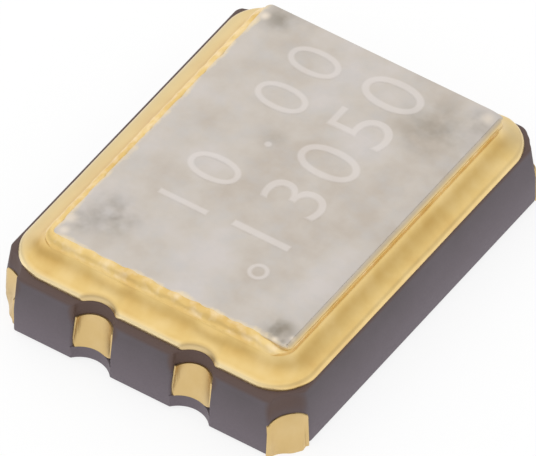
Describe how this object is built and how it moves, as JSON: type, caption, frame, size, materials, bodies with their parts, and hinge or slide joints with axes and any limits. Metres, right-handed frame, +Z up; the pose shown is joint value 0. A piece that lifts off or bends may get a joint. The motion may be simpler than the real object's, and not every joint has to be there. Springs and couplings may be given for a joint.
{
  "type": "crystal oscillator",
  "caption": "Leadless surface-mount crystal oscillator: dark ceramic package, gold-plated seal ring and notches, seam-welded metal lid, quartz blank and die inside.",
  "frame": {"origin": "centre of the package's footprint, in the plane of the undersides of its solder lands", "axes": "+Z up through the lid, +Y along the long side, +X along the short side; terminal 1 is at the +X, -Y corner"},
  "size_m": [0.0024, 0.0032, 0.0008],
  "materials": {
    "dark_alumina": "matt sintered",
    "gold_terminals": "satin gold plating",
    "gold_seal": "satin gold plating",
    "nickel_lid": "matt nickel plating",
    "gold_film": "bright gold film",
    "silver_adhesive": "cured, silver filled",
    "quartz": "lapped and etched",
    "silicon": "polished"
  },
  "bodies": {
    "root": {"ceramic_base": "dark_alumina", "terminal_1": "gold_terminals", "terminal_2": "gold_terminals", "terminal_3": "gold_terminals", "terminal_4": "gold_terminals", "side_terminal_1": "gold_terminals", "side_terminal_2": "gold_terminals", "side_terminal_3": "gold_terminals", "side_terminal_4": "gold_terminals", "seal_band": "gold_seal", "braze_fillet": "gold_seal", "seam_ring": "gold_seal", "lid": "nickel_lid", "crystal_land_left": "gold_film", "crystal_land_right": "gold_film", "crystal_pillow": "gold_film", "adhesive_left": "silver_adhesive", "adhesive_right": "silver_adhesive", "quartz_blank": "quartz", "electrode_upper": "gold_film", "electrode_lower": "gold_film", "circuit_die": "silicon", "die_bumps": "gold_film", "die_lands": "gold_film"}
  },
  "joints": []
}
